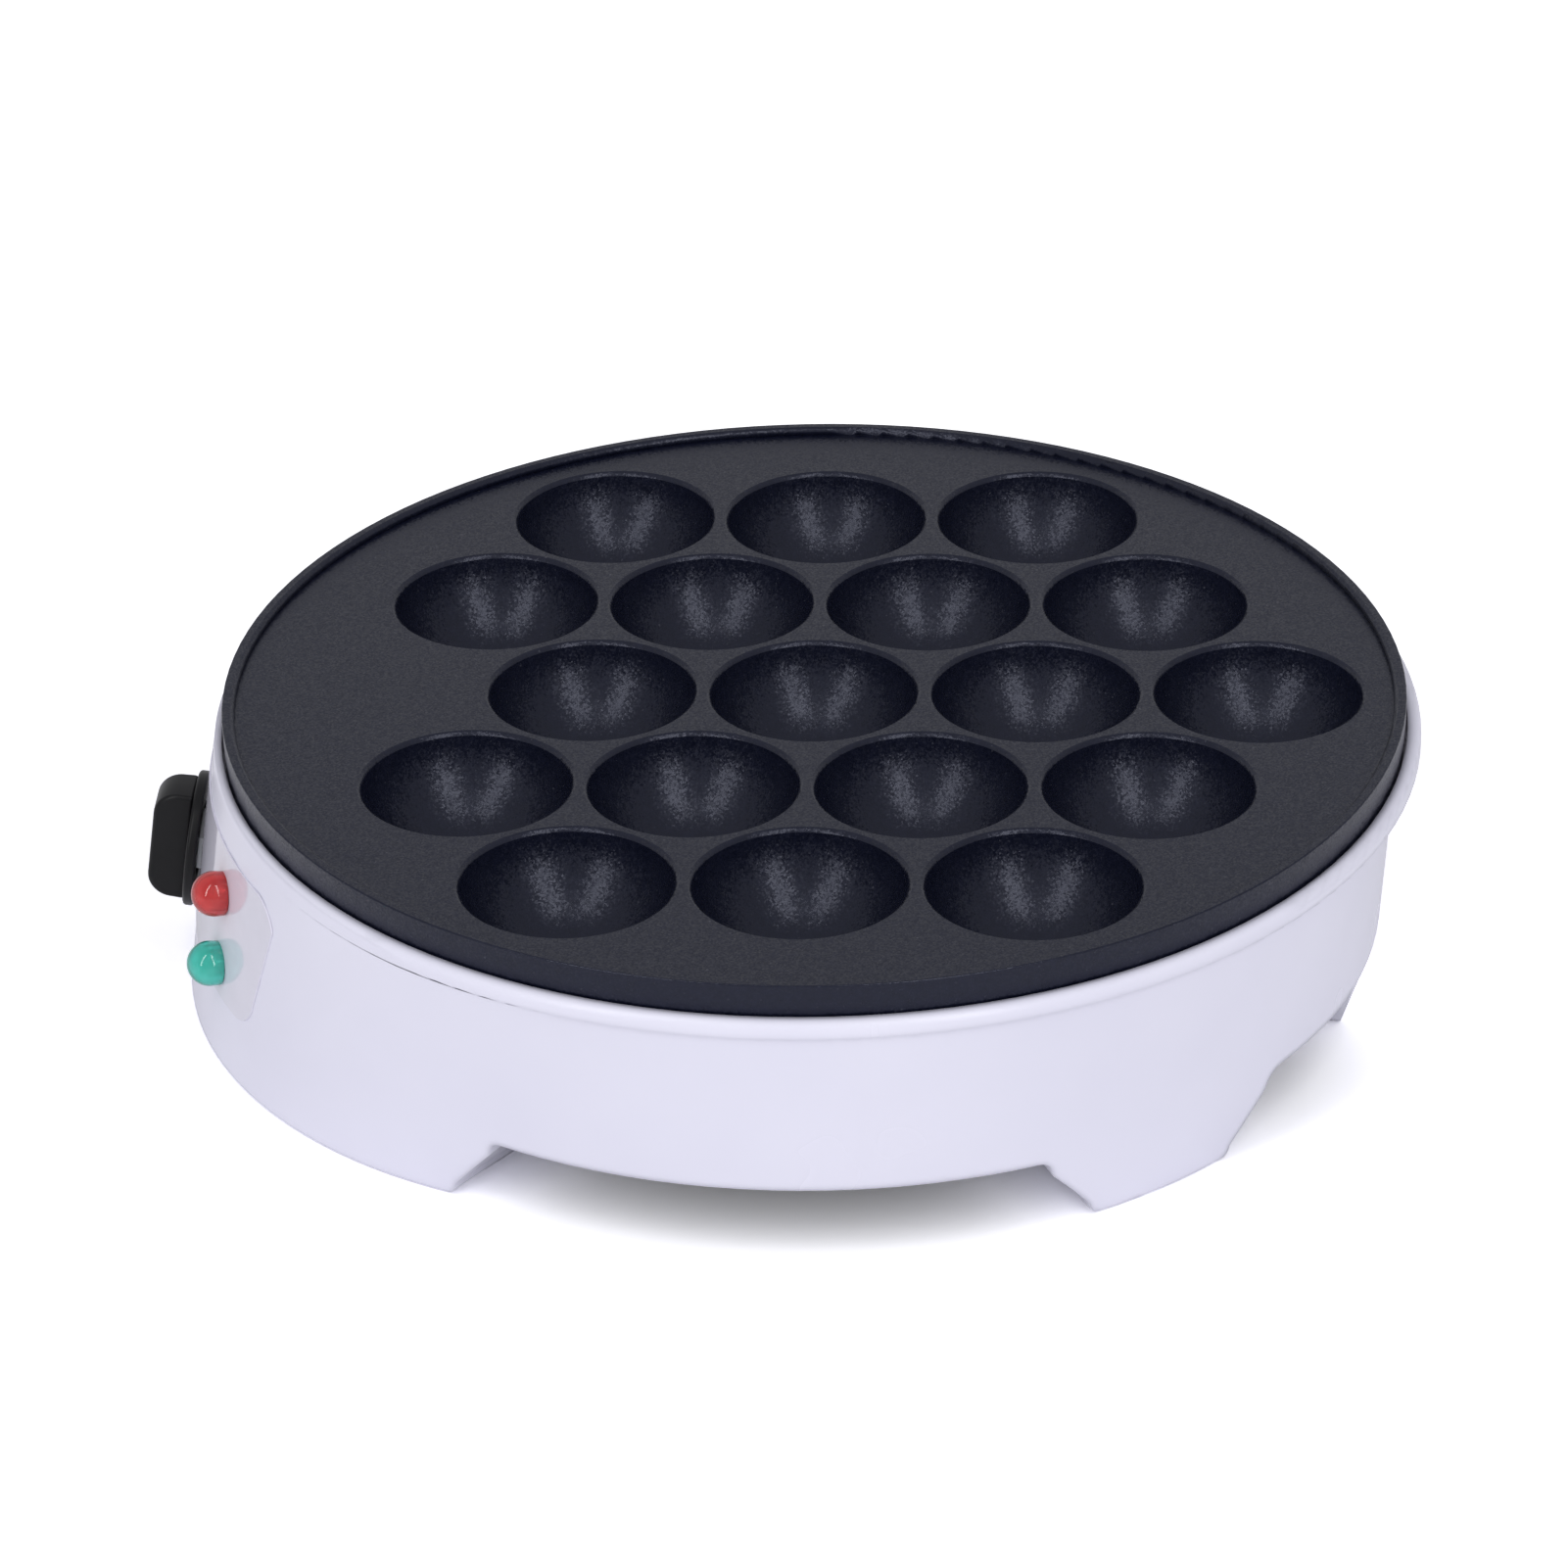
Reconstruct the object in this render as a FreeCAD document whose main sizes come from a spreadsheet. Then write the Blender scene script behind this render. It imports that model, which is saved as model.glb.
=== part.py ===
"""Round takoyaki maker: a cast plate with 18 wells in a white moulded housing.

The model stands on its feet at z = 0, its middle on the Z axis. The control panel
with the knob and the two lamps bulges out towards -X, and the cord inlet is at the rear.
"""
import FreeCAD, Part
import math
import os
import re
import Sketcher

Vector = FreeCAD.Vector
Rotation = FreeCAD.Rotation
Placement = FreeCAD.Placement

# Driving sizes in millimetres and degrees
SIZES = {
    # cooking plate
    "plate_top": 60.0,
    "plate_radius": 114.5,
    "plate_thick": 3.0,
    "plate_draft": 0.15,
    "lip_height": 1.6,
    "lip_width": 2.2,
    "skirt_thick": 2.4,
    "well_radius": 20.0,
    "well_depth": 18.5,
    "well_pitch": 43.0,
    "well_edge": 0.8,
    "cup_wall": 2.2,
    # rim and wall of the housing
    "seat_height": 53.0,
    "seat_thick": 2.4,
    "seat_width": 3.9,
    "plate_gap": 0.35,
    "rim_overhang": 3.0,
    "rim_top": 55.4,
    "rim_bottom": 51.8,
    "rim_round": 1.4,
    "rim_foot_round": 0.6,
    "wall_thick": 2.6,
    "rim_step": 0.7,
    "wall_lean": 8.5,
    # flattened rear of the housing
    "rear_top_swell": 10.2,
    "rear_top_shift": 14.0,
    "rear_foot_swell": 1.1,
    "heel_step": 4.4,
    "heel_height": 16.0,
    # chin that carries the control panel
    "chin_top_step": 0.5,
    "chin_top_shift": 1.7,
    "chin_foot_step": 12.9,
    "chin_foot_shift": 29.0,
    "panel_top_swell": 3.6,
    "panel_top_shift": 3.7,
    "panel_foot_swell": 2.0,
    "panel_foot_shift": 26.9,
    # feet and the arches between them
    "arch_height": 16.0,
    "arch_round": 4.0,
    "foot_corner": 3.0,
    "arch_draft": 4.5,
    "foot_depth": 26.0,
    "foot_round": 1.6,
    "chin_half_angle": 53.9,
    "side_foot_start": 42.8,
    "side_foot_end": 60.4,
    "rear_foot_half": 14.3,
    "floor_thick": 2.4,
    "floor_width": 32.3,
    # screw posts that carry the plate
    "post_inset": 10.5,
    "post_radius": 4.6,
    "post_top": 40.0,
    "post_bore": 2.2,
    "plate_screw_length": 33.0,
    "washer_thick": 0.8,
    # foot pads
    "pad_radius": 5.0,
    "pad_thick": 1.4,
    "pad_gap": 0.1,
    "pad_inset": 12.3,
    # base cover and its screws
    "cover_thick": 1.2,
    "cover_gap": 0.4,
    "cover_screw_inset": 16.3,
    "boss_radius": 4.0,
    "boss_height": 7.0,
    "screw_radius": 1.5,
    "screw_head_radius": 3.0,
    "screw_head_height": 2.0,
    "screw_length": 9.0,
    # reflector pan
    "pan_bottom": 24.0,
    "pan_thick": 0.8,
    "pan_inset": 7.0,
    "pan_slope_width": 15.0,
    "pan_flange": 2.6,
    # heating element
    "element_radius": 62.0,
    "element_tube": 3.25,
    "element_height": 31.0,
    "element_leg_spread": 20.0,
    "element_bend": 12.0,
    "insulator_radius": 5.0,
    "insulator_length": 12.0,
    "clip_width": 9.0,
    "clip_thick": 0.8,
    # knob and thermostat
    "knob_height": 26.4,
    "knob_radius": 13.4,
    "knob_rise": 0.8,
    "knob_skirt_thick": 2.0,
    "grip_edge": 1.0,
    "grip_length": 23.2,
    "grip_width": 10.0,
    "grip_depth": 7.6,
    "grip_round": 4.6,
    "spindle_radius": 3.0,
    "spindle_flat": 1.0,
    "spindle_gap": 0.06,
    "bush_radius": 5.0,
    "bush_gap": 0.2,
    "nut_radius": 6.8,
    "nut_thick": 1.8,
    "thermostat_width": 30.0,
    "thermostat_height": 24.0,
    "thermostat_depth": 13.0,
    "thermostat_back": 4.2,
    "bulb_radius": 2.5,
    "bulb_length": 28.0,
    "capillary_radius": 0.8,
    # lamps
    "lamp_offset": 40.0,
    "lamp_upper": 37.2,
    "lamp_lower": 21.8,
    "lens_radius": 4.4,
    "lens_rise": 6.5,
    "lens_stem": 3.7,
    "lens_length": 12.0,
    "lens_gap": 0.15,
    # label film on the panel
    "label_thick": 0.3,
    "label_top": 47.0,
    "label_bottom": 15.5,
    "label_top_half": 62.5,
    "label_bottom_half": 50.0,
    "label_round": 7.0,
    # cord inlet
    "inlet_height": 30.0,
    "inlet_radius": 5.0,
    "cord_radius": 3.3,
    "grommet_lip": 1.4,
    # small parts inside
    "fuse_radius": 2.0,
    "fuse_length": 12.0,
    "terminal_length": 16.0,
    "terminal_width": 24.0,
    "terminal_height": 20.0,
    "wire_radius": 1.2,
    "wire_inset": 3.0,
}

# Sizes that follow others by one of the clearances above
LINKED = {
    "rim_radius": "(plate_radius + rim_overhang)",
    "seat_inner_radius": "(plate_radius - seat_width)",
    "wall_top_radius": "(rim_radius - rim_step)",
    "wall_foot_radius": "(wall_top_radius - wall_lean)",
    "rear_top_radius": "(wall_top_radius + rear_top_swell)",
    "rear_foot_radius": "(wall_foot_radius + rear_foot_swell)",
    "chin_top_radius": "(wall_top_radius - chin_top_step)",
    "chin_foot_radius": "(wall_foot_radius - chin_foot_step)",
    "panel_top_radius": "(chin_top_radius + panel_top_swell)",
    "panel_foot_radius": "(chin_foot_radius + panel_foot_swell)",
    "floor_opening": "(wall_foot_radius - floor_width)",
    "post_circle": "(plate_radius - post_inset)",
    "pad_circle": "(wall_foot_radius - pad_inset)",
    "cover_screw_circle": "(wall_foot_radius - cover_screw_inset)",
    "pan_top_radius": "(post_circle - pan_inset)",
    "pan_foot_radius": "(pan_top_radius - pan_slope_width)",
    "element_leg_end": "pan_top_radius",
    "wire_circle": "(floor_opening + wire_inset)",
}

doc = FreeCAD.newDocument("takoyaki_maker")
sheet = doc.addObject("Spreadsheet::Sheet", "Dim")
for row, (alias, value) in enumerate(SIZES.items(), start=1):
    sheet.set("A%d" % row, alias)
    sheet.set("B%d" % row, str(value))
    sheet.setAlias("B%d" % row, alias)
doc.recompute()


def formula(text):
    """Spells out the linked sizes in a formula and points the others at their cells."""
    word = re.compile(r"[a-z][a-z0-9_]*")
    while any(name in LINKED for name in word.findall(text)):
        text = word.sub(lambda m: LINKED.get(m.group(), m.group()), text)
    return word.sub(lambda m: "Dim." + m.group() if m.group() in SIZES else m.group(), text)


def size(text):
    """The number that a formula of sizes comes to."""
    value = sheet.evalExpression(formula(text))
    return float(getattr(value, "Value", value))


def bind(thing, **formulas):
    for prop, text in formulas.items():
        thing.setExpression(prop, formula(text))
    return thing


def place(thing, x="0", y="0", z="0", axis=None, angle=0.0):
    """Puts an object at a bound place, turned by a plain angle about an axis."""
    if axis is not None:
        thing.Placement = Placement(Vector(), Rotation(axis, angle))
    for name, text in (("x", x), ("y", y), ("z", z)):
        thing.setExpression(".Placement.Base." + name, formula(text))
    return thing


# Part primitives and booleans
def cylinder(name, radius, height, **where):
    part = doc.addObject("Part::Cylinder", name)
    bind(part, Radius=radius, Height=height)
    return place(part, **where)


def block(name, length, width, height, **where):
    part = doc.addObject("Part::Box", name)
    bind(part, Length=length, Width=width, Height=height)
    return place(part, **where)


def cone(name, foot, top, height, **where):
    part = doc.addObject("Part::Cone", name)
    bind(part, Radius1=foot, Radius2=top, Height=height)
    return place(part, **where)


def ring(name, radius, **where):
    part = doc.addObject("Part::Circle", name)
    bind(part, Radius=radius)
    return place(part, **where)


def loft(name, sections):
    part = doc.addObject("Part::Loft", name)
    part.Sections = sections
    part.Solid = True
    part.Ruled = True
    return part


def cut(name, base, tool):
    part = doc.addObject("Part::Cut", name)
    part.Base = base
    part.Tool = tool
    part.Refine = False
    return part


def fuse(name, *pieces):
    part = doc.addObject("Part::MultiFuse", name)
    part.Shapes = list(pieces)
    part.Refine = False
    return part


def common(name, base, tool):
    part = doc.addObject("Part::Common", name)
    part.Base = base
    part.Tool = tool
    part.Refine = False
    return part


def group(name, pieces):
    part = doc.addObject("Part::Compound", name)
    part.Links = list(pieces)
    return part


# Sketches and bodies
def arc_centre(start, end, radius, turn):
    """Centre of the short arc from start to end: turn is 1 anticlockwise, -1 clockwise."""
    chord = end - start
    middle = (start + end) * 0.5
    side = Vector(-chord.y, chord.x, 0).normalize()
    height = math.sqrt(max(radius ** 2 - chord.Length ** 2 / 4, 0))
    return middle + side * (turn * height)


def add_edge(sketch, start, end, bend):
    """Adds one edge and returns its index and which of its ends is the start."""
    if bend is None:
        return sketch.addGeometry(Part.LineSegment(start, end)), 1
    radius, turn = size(bend[0]), bend[1]
    centre = arc_centre(start, end, radius, turn)
    first, last = (start, end) if turn > 0 else (end, start)
    angles = [math.atan2(p.y - centre.y, p.x - centre.x) for p in (first, last)]
    circle = Part.Circle(centre, Vector(0, 0, 1), radius)
    return sketch.addGeometry(Part.ArcOfCircle(circle, *angles)), (1 if turn > 0 else 2)


def pin(sketch, index, end, corner):
    """Ties one end of an edge to its bound coordinates."""
    for kind, text, axis in (("DistanceX", corner[0], -2), ("DistanceY", corner[1], -1)):
        value = size(text)
        if abs(value) < 1e-9:
            sketch.addConstraint(Sketcher.Constraint("PointOnObject", index, end, axis))
            continue
        number = sketch.addConstraint(Sketcher.Constraint(kind, -1, 1, index, end, value))
        sketch.setExpression("Constraints[%d]" % number, formula(text))


def outline(sketch, corners, closed=True):
    """Draws an outline of corners (x, y) or (x, y, (radius, turn)), where the radius
    and turn bend the edge that leaves the corner."""
    points = [Vector(size(c[0]), size(c[1]), 0) for c in corners]
    count = len(points) if closed else len(points) - 1
    edges = []
    for k, corner in enumerate(corners[:count]):
        bend = corner[2] if len(corner) > 2 else None
        edges.append(add_edge(sketch, points[k], points[(k + 1) % len(points)], bend))
    for k, (index, end) in enumerate(edges):
        pin(sketch, index, end, corners[k])
        if k == count - 1 and not closed:
            pin(sketch, index, 3 - end, corners[-1])
        else:
            after, its_end = edges[(k + 1) % count]
            sketch.addConstraint(Sketcher.Constraint("Coincident", index, 3 - end, after, its_end))
        if len(corners[k]) > 2:
            radius = size(corners[k][2][0])
            number = sketch.addConstraint(Sketcher.Constraint("Radius", index, radius))
            sketch.setExpression("Constraints[%d]" % number, formula(corners[k][2][0]))
    return sketch


def new_body(label):
    body = doc.addObject("PartDesign::Body", label)
    body.Label = label
    return body


def body_sketch(body, role, name, offset=None):
    sketch = body.newObject("Sketcher::SketchObject", name)
    plane = [f for f in body.Origin.OriginFeatures if f.Role == role][0]
    sketch.AttachmentSupport = [(plane, "")]
    sketch.MapMode = "FlatFace"
    if offset is not None:
        sketch.AttachmentOffset = Placement(offset, Rotation())
    return sketch


def turn(body, kind, sketch, name):
    """Revolves a sketch about its own vertical axis, adding or cutting."""
    feature = body.newObject("PartDesign::" + kind, name)
    feature.Profile = sketch
    feature.ReferenceAxis = (sketch, ["V_Axis"])
    feature.Angle = 360
    return feature


def turned(label, corners):
    """A piece turned on a lathe: the outline is its half section, x outwards, y up."""
    body = new_body(label)
    sketch = outline(body_sketch(body, "XZ_Plane", label + "_section"), corners)
    turn(body, "Revolution", sketch, label + "_turning")
    return body


def pad(body, sketch, length, name, midplane=False):
    feature = body.newObject("PartDesign::Pad", name)
    feature.Profile = sketch
    bind(feature, Length=length)
    feature.Midplane = midplane
    return feature


def round_edges(body, base, radius, name, chosen):
    """Fillets the edges of a feature that the chosen test picks."""
    doc.recompute()
    edges = ["Edge%d" % (k + 1) for k, e in enumerate(base.Shape.Edges) if chosen(e)]
    feature = body.newObject("PartDesign::Fillet", name)
    feature.Base = (base, edges)
    bind(feature, Radius=radius)
    return feature


def runs_along(edge, axis):
    if not isinstance(edge.Curve, Part.Line):
        return False
    return abs(edge.Curve.Direction.dot(axis)) > 0.999


def polar(angle, radius):
    """Formulas of the x and y at an angle in degrees on a circle of bound radius."""
    return "(%s) * cos(%s)" % (radius, angle), "(%s) * sin(%s)" % (radius, angle)


# Places that several pieces share
WELL_ROWS = [(-1.0, 3, 2), (-1.5, 4, 1), (-1.0, 4, 0), (-1.5, 4, -1), (-1.0, 3, -2)]
POST_ANGLES = (-90, -30, 30, 90)
COVER_SCREW_ANGLES = (-112, -70, -28.5, 28.5, 70, 112)
PAD_ANGLES = (-135, -51.6, 0, 51.6, 135)
INLET_ANGLE = 20.5
INLET_RADIUS = "(rear_foot_radius + (rear_top_radius - rear_foot_radius) * inlet_height / rim_bottom)"
INLET_SHIFT = "(rear_top_shift * inlet_height / rim_bottom)"
PANEL_SLOPE = "(panel_foot_radius + panel_foot_shift - panel_top_radius + panel_top_shift)"
BULB_Z = "(plate_top - plate_thick - bulb_radius - 0.1)"
WIRE_Z = "(arch_height + floor_thick + wire_radius + 0.1)"
PANEL_TILT = math.degrees(math.atan(size(PANEL_SLOPE) / size("rim_top")))


def panel_surface(height):
    """Formulas of the panel's radius and of how far its centre lies towards -X."""
    share = "((rim_top - (%s)) / rim_top)" % height
    radius = "(panel_top_radius + (panel_foot_radius - panel_top_radius) * %s)" % share
    shift = "(panel_foot_shift * %s - panel_top_shift * (1 - %s))" % (share, share)
    return radius, shift


# Cooking plate
def cooking_plate():
    """Cast disc with a raised lip, a skirt that sits on the housing, and 18 cups."""
    body = new_body("cooking_plate")
    face = "plate_top"
    under = "plate_top - plate_thick"
    lip_top = "plate_top + lip_height"
    skirt_foot = "seat_height"
    disc = outline(body_sketch(body, "XZ_Plane", "disc_section"), [
        ("0", under),
        ("plate_radius - skirt_thick", under),
        ("plate_radius - skirt_thick - 0.1", skirt_foot),
        ("plate_radius - plate_draft", skirt_foot),
        ("plate_radius", lip_top + " - 0.3", ("0.3", 1)),
        ("plate_radius - 0.3", lip_top),
        ("plate_radius - lip_width + 0.6", lip_top, ("1.0", 1)),
        ("plate_radius - lip_width", face),
        ("0", face)])
    turn(body, "Revolution", disc, "disc")
    ball = "((well_radius ^ 2 + well_depth ^ 2) / (2 * well_depth))"
    sag = "(%s - well_depth)" % ball
    cup = "(%s + cup_wall)" % ball
    reach = "sqrt(%s ^ 2 - (%s + plate_thick) ^ 2)" % (cup, sag)
    for start, count, row in WELL_ROWS:
        spot = Vector(start * size("well_pitch"), 0, -row * size("well_pitch") * math.sqrt(0.75))
        sketch = body_sketch(body, "XZ_Plane", "cup_section", spot)
        bind_row(sketch, start, row)
        outline(sketch, [
            ("0", "plate_top - well_depth - cup_wall", (cup, 1)),
            (reach, under),
            (reach, under + " + 1"),
            ("0", under + " + 1")])
        repeat_row(body, turn(body, "Revolution", sketch, "cup"), sketch, count)
    for start, count, row in WELL_ROWS:
        sketch = body_sketch(body, "XZ_Plane", "well_section", Vector())
        bind_row(sketch, start, row)
        outline(sketch, [
            ("0", "plate_top - well_depth", (ball, 1)),
            ("well_radius", "plate_top - well_edge", ("well_edge * 1.6", -1)),
            ("well_radius + well_edge", face),
            ("well_radius + well_edge", face + " + 1"),
            ("0", face + " + 1")])
        repeat_row(body, turn(body, "Groove", sketch, "well"), sketch, count)
    for angle in POST_ANGLES:
        add_plate_boss(body, angle)
    return body


def bind_row(sketch, start, row):
    """Ties a sketch to the first well of its row: the rows nest at 60 degrees."""
    place_of = ".AttachmentOffset.Base."
    sketch.setExpression(place_of + "x", formula("%s * well_pitch" % start))
    sketch.setExpression(place_of + "z", formula("%s * well_pitch * sqrt(0.75)" % -row))


def repeat_row(body, feature, sketch, count):
    pattern = body.newObject("PartDesign::LinearPattern", feature.Name + "_row")
    pattern.Originals = [feature]
    pattern.Direction = (sketch, ["H_Axis"])
    bind(pattern, Length="well_pitch * %d" % (count - 1))
    pattern.Occurrences = count
    body.Tip = pattern


def add_plate_boss(body, angle):
    """Boss under the plate whose blind hole takes one of the plate screws."""
    x, y = polar(angle, "post_circle")
    reach = "plate_top - plate_thick - post_top - pan_thick"
    for kind, radius, tall, name in (("Additive", "post_radius", reach + " + 0.5", "boss"),
                                     ("Subtractive", "post_bore - 0.25", reach + " - 3", "boss_hole")):
        feature = body.newObject("PartDesign::%sCylinder" % kind, name)
        bind(feature, Radius=radius, Height=tall)
        place(feature, x=x, y=y, z="post_top + pan_thick")


# Housing
def arch_section(name, angle, distance, foot_half, top_half, height):
    """Upright arch outline that faces outwards at an angle, a distance from the middle.
    It flares at the ground, which rounds the lower corners of the feet beside it."""
    sketch = doc.addObject("Sketcher::SketchObject", name)
    across = Vector(-math.sin(math.radians(angle)), math.cos(math.radians(angle)), 0)
    outwards = Vector(across.y, -across.x, 0)
    turned_by = Rotation(across, Vector(0, 0, 1), outwards, "ZXY")
    sketch.Placement = Placement(outwards * size(distance), turned_by)
    foot = "(%s) * tan(%s)" % (distance, foot_half)
    top = "(%s) * tan(%s)" % (distance, top_half)
    bend = "(arch_round * (%s) / wall_foot_radius)" % distance
    flare = "(foot_corner * (%s) / wall_foot_radius)" % distance
    return outline(sketch, [
        ("-(%s)" % foot, "foot_corner", (flare, -1)),
        ("-(%s) - %s" % (foot, flare), "foot_corner - %s" % flare),
        ("-(%s) - %s" % (foot, flare), "-2"),
        ("%s + %s" % (foot, flare), "-2"),
        ("%s + %s" % (foot, flare), "foot_corner - %s" % flare, (flare, -1)),
        (foot, "foot_corner"),
        (top, "%s - %s" % (height, bend), (bend, 1)),
        ("%s - %s" % (top, bend), height),
        ("%s - (%s)" % (bend, top), height, (bend, 1)),
        ("-(%s)" % top, "%s - %s" % (height, bend))])


def arch(name, start, end, grown):
    """Wedge that opens the wall between two feet, its sides grown by a length."""
    angle = size("((%s) + (%s)) / 2" % (start, end))
    half = "abs((%s) - (%s)) / 2 + atan((%s) / wall_foot_radius) / 1 deg" % (end, start, grown)
    height = "arch_height + max(%s; 0)" % grown
    sections = [arch_section(name + "_" + side, angle, distance, half, half + " - arch_draft", height)
                for side, distance in (("inner", "wall_foot_radius - foot_depth - 24"),
                                       ("outer", "wall_foot_radius + 30"))]
    return loft(name, sections)


def arches(suffix, grown):
    """The two long side arches and the two short ones beside the rear foot."""
    spans = {"front": ("chin_half_angle - 180", "-side_foot_end"),
             "back": ("side_foot_end", "180 - chin_half_angle"),
             "right": ("-side_foot_start", "-rear_foot_half"),
             "left": ("rear_foot_half", "side_foot_start")}
    return [arch(side + "_arch" + suffix, start, end, grown) for side, (start, end) in spans.items()]


def shell_volume(suffix, inset, soft=False):
    """The housing's form under the rim, taken in by the inset: a bowl with a flattened
    rear, joined to the bulging chin whose front is the control panel."""
    top = "rim_bottom"
    bowl = cone("bowl" + suffix, "wall_foot_radius - (%s)" % inset,
                "wall_top_radius - (%s)" % inset, top)
    rear = loft("rear_form" + suffix, [
        ring("rear_foot" + suffix, "rear_foot_radius - (%s)" % inset),
        ring("rear_top" + suffix, "rear_top_radius - (%s)" % inset, x="-rear_top_shift", z=top)])
    chin = loft("chin_form" + suffix, [
        ring("chin_foot" + suffix, "chin_foot_radius - (%s)" % inset, x="-chin_foot_shift"),
        ring("chin_top" + suffix, "chin_top_radius - (%s)" % inset, x="-chin_top_shift", z=top)])
    panel = panel_form("panel_form" + suffix, "-(%s)" % inset)
    if soft:
        bowl = soft_foot("soft_bowl", bowl)
        chin = soft_foot("soft_chin", chin)
        panel = soft_foot("soft_panel", panel)
    bulge = common("bulge" + suffix, chin, panel)
    return fuse("form" + suffix, common("bowl_form" + suffix, bowl, rear), bulge)


def panel_form(name, grown):
    """Solid whose skin is the control panel's surface, grown outwards."""
    return loft(name, [
        ring(name + "_foot", "panel_foot_radius + (%s)" % grown, x="-panel_foot_shift"),
        ring(name + "_top", "panel_top_radius + (%s)" % grown, x="panel_top_shift", z="rim_top")])


def rim_solid():
    """Proud band round the top with a soft outer corner, cut back flush at the panel."""
    body = turned("rim_band", [
        ("seat_inner_radius", "seat_height - seat_thick"),
        ("wall_top_radius - 1", "seat_height - seat_thick"),
        ("wall_top_radius - 1", "rim_bottom"),
        ("rim_radius - rim_foot_round", "rim_bottom", ("rim_foot_round", 1)),
        ("rim_radius", "rim_bottom + rim_foot_round"),
        ("rim_radius", "rim_top - rim_round", ("rim_round", 1)),
        ("rim_radius - rim_round", "rim_top"),
        ("plate_radius + plate_gap", "rim_top"),
        ("plate_radius + plate_gap", "seat_height"),
        ("seat_inner_radius", "seat_height")])
    return common("rim", body, panel_form("rim_front", "0"))


def heel_trim(suffix, inset):
    """What is taken off the rear foot, whose face leans in below the wall."""
    space = block("heel_space" + suffix, "60", "2 * heel_height + 60", "heel_height + 1",
                  x="cover_screw_circle - 20", y="-heel_height - 30", z="-1")
    slope = "heel_step / heel_height"
    kept = cone("heel" + suffix, "rear_foot_radius - heel_step - (%s) - %s" % (inset, slope),
                "rear_foot_radius + 1.1 - (%s)" % inset, "heel_height + 1", z="-1")
    return cut("heel_trim" + suffix, space, kept)


def soft_foot(name, solid):
    """Rounds the bottom edge of a form, where the feet stand."""
    doc.recompute()
    radius = size("foot_round")
    low = [k + 1 for k, e in enumerate(solid.Shape.Edges) if e.BoundBox.ZMax < 0.1]
    part = doc.addObject("Part::Fillet", name)
    part.Base = solid
    part.Edges = [(k, radius, radius) for k in low]
    return part


def cavity():
    """The hollow of the housing: open above the floor, closed pockets in the feet."""
    inner = cut("inside_over_heel", shell_volume("_inside", "wall_thick"),
                heel_trim("_inside", "wall_thick"))
    above = common("above_floor", inner, cylinder(
        "above_floor_space", "rim_radius + 20", "rim_bottom", z="arch_height + floor_thick"))
    ring_space = cut("pocket_ring", cylinder("pocket_outside", "rim_radius + 20",
                     "arch_height", z="floor_thick"),
                     cylinder("pocket_inside", "wall_foot_radius - foot_depth + wall_thick",
                              "arch_height + 40"))
    pockets = cut("pockets", common("pocket_space", inner, ring_space),
                  fuse("grown_arches", *arches("_grown", "wall_thick")))
    hatch = cylinder("floor_hatch", "floor_opening", "arch_height + 10", z="1")
    mouth = cylinder("plate_mouth", "seat_inner_radius", "rim_top", z="rim_bottom - 2")
    return fuse("cavity", above, pockets, hatch, mouth)


def post(name, angle, radius, circle, foot, height):
    x, y = polar(angle, circle)
    return cylinder(name, radius, height, x=x, y=y, z=foot)


def panel_frame(y, z, tilt_only, rise):
    """Placement on the panel at a side and height: +Z points straight out of it."""
    radius, shift = (size(f) for f in panel_surface(str(z)))
    lean = 0.0 if tilt_only else math.asin(-y / radius)
    x = -shift - math.sqrt(radius ** 2 - y ** 2)
    spot = Vector(x, y, z)
    turned_by = Rotation(Vector(0, 0, 1), math.degrees(lean)) \
        * Rotation(Vector(0, 1, 0), -(90 - PANEL_TILT))
    return Placement(spot + turned_by.multVec(Vector(0, 0, rise)), turned_by)


def lamp_frame(which, rise=0.0):
    return panel_frame(-size("lamp_offset"), size(which), False, rise)


def knob_frame(rise=0.0):
    return panel_frame(0.0, size("knob_height"), True, rise)


def housing():
    """Moulded shell: outer form and rim, less its arches, hollow and screw holes."""
    form = cut("heeled_form", shell_volume("", "0", soft=True), heel_trim("", "0"))
    outer = cut("form_on_feet", form, fuse("all_arches", *arches("", "0")))
    middle = cylinder("under_floor", "wall_foot_radius - foot_depth", "arch_height + 1", z="-1")
    footed = cut("form_over_base", outer, middle)
    shell = fuse("shell", cut("hollow_form", footed, cavity()), rim_solid())
    posts = [post("plate_post", a, "post_radius", "post_circle", "arch_height + 0.5",
                  "post_top - arch_height - 0.5") for a in POST_ANGLES]
    bosses = [post("cover_boss", a, "boss_radius", "cover_screw_circle", "arch_height + 0.5",
                   "boss_height + floor_thick") for a in COVER_SCREW_ANGLES]
    solid = fuse("filled_housing", shell, *(posts + bosses))
    holes = [post("plate_bore", a, "post_bore", "post_circle", "-1", "post_top + 5")
             for a in POST_ANGLES]
    holes += [post("plate_head_bore", a, "post_bore + 1.8", "post_circle", "-1", "arch_height + 4")
              for a in POST_ANGLES]
    holes += [post("cover_bore", a, "screw_radius", "cover_screw_circle", "arch_height - 1",
                   "screw_length + 1") for a in COVER_SCREW_ANGLES]
    holes += [post("pad_recess", a, "pad_radius + pad_gap", "pad_circle", "-1",
                   "pad_thick + pad_gap + 1") for a in PAD_ANGLES]
    holes.append(panel_hole("bush_hole", "bush_radius + bush_gap", knob_frame(-8)))
    for lamp in ("lamp_upper", "lamp_lower"):
        holes.append(panel_hole(lamp + "_hole", "lens_stem + lens_gap", lamp_frame(lamp, -8)))
    holes.append(at_inlet(cylinder("inlet_hole", "inlet_radius", "20"), "-10"))
    return cut("housing", solid, fuse("housing_holes", *holes))


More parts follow.
